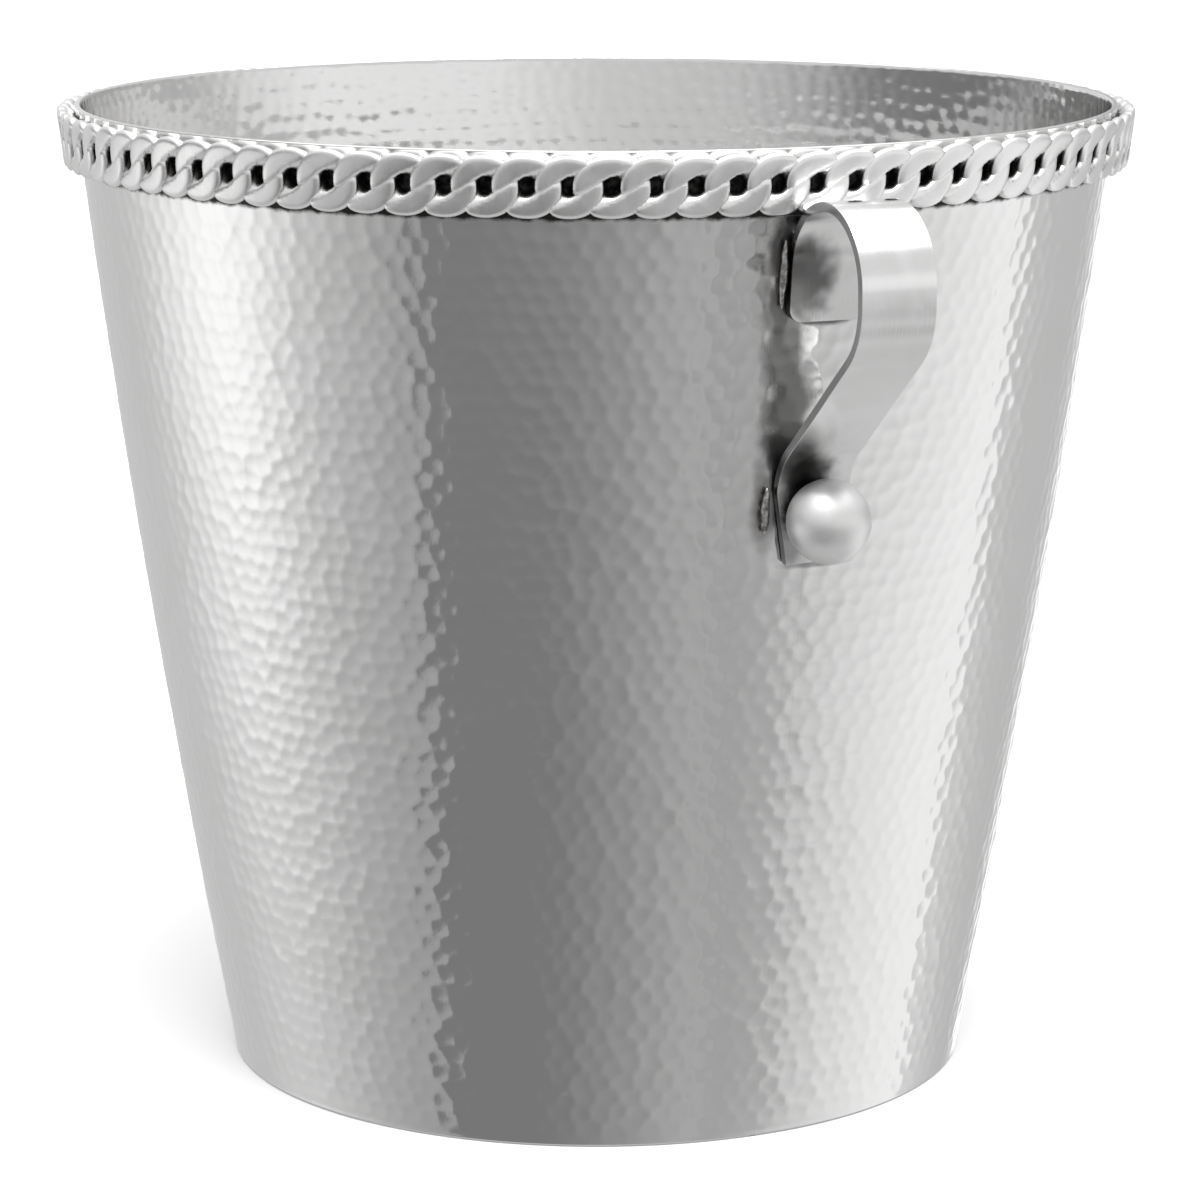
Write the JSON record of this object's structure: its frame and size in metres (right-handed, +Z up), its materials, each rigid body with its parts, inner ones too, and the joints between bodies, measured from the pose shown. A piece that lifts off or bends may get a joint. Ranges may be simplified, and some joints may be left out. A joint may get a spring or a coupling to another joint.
{
  "type": "ice bucket",
  "caption": "Tapered hammered steel ice bucket with a flat curb chain soldered round its rim and looped strap handles held by ball-headed rivets.",
  "frame": {"origin": "centre of the underside, on the surface that the bucket stands on", "axes": "+Z up through the open mouth, +X and -X through the handles"},
  "size_m": [0.2792, 0.2298, 0.208],
  "materials": {
    "hammered_steel": "hand-hammered and polished stainless steel",
    "plain_steel": "plain satin stainless steel",
    "strap_steel": "polished strap with fine lengthwise grain",
    "ball_steel": "softly polished ball head",
    "chain_steel": "filed flat and polished, with darkened recesses",
    "weld_metal": "rough darkened weld metal"
  },
  "bodies": {
    "root": {"bucket_wall": "hammered_steel", "base_disc": "plain_steel", "handle_strap_right": "strap_steel", "ball_rivet_right": "ball_steel", "leaf_weld_right": "weld_metal", "foot_weld_right": "weld_metal", "handle_strap_left": "strap_steel", "ball_rivet_left": "ball_steel", "leaf_weld_left": "weld_metal", "foot_weld_left": "weld_metal", "chain_links_01": "chain_steel", "chain_links_02": "chain_steel", "chain_links_03": "chain_steel", "chain_links_04": "chain_steel", "chain_links_05": "chain_steel", "chain_links_06": "chain_steel", "chain_links_07": "chain_steel", "chain_links_08": "chain_steel", "chain_links_09": "chain_steel", "chain_links_10": "chain_steel", "chain_links_11": "chain_steel", "chain_links_12": "chain_steel", "chain_links_13": "chain_steel", "chain_links_14": "chain_steel", "chain_links_15": "chain_steel", "chain_links_16": "chain_steel", "chain_links_17": "chain_steel", "chain_links_18": "chain_steel", "chain_links_19": "chain_steel", "chain_links_20": "chain_steel", "chain_links_21": "chain_steel", "chain_links_22": "chain_steel"}
  },
  "joints": []
}
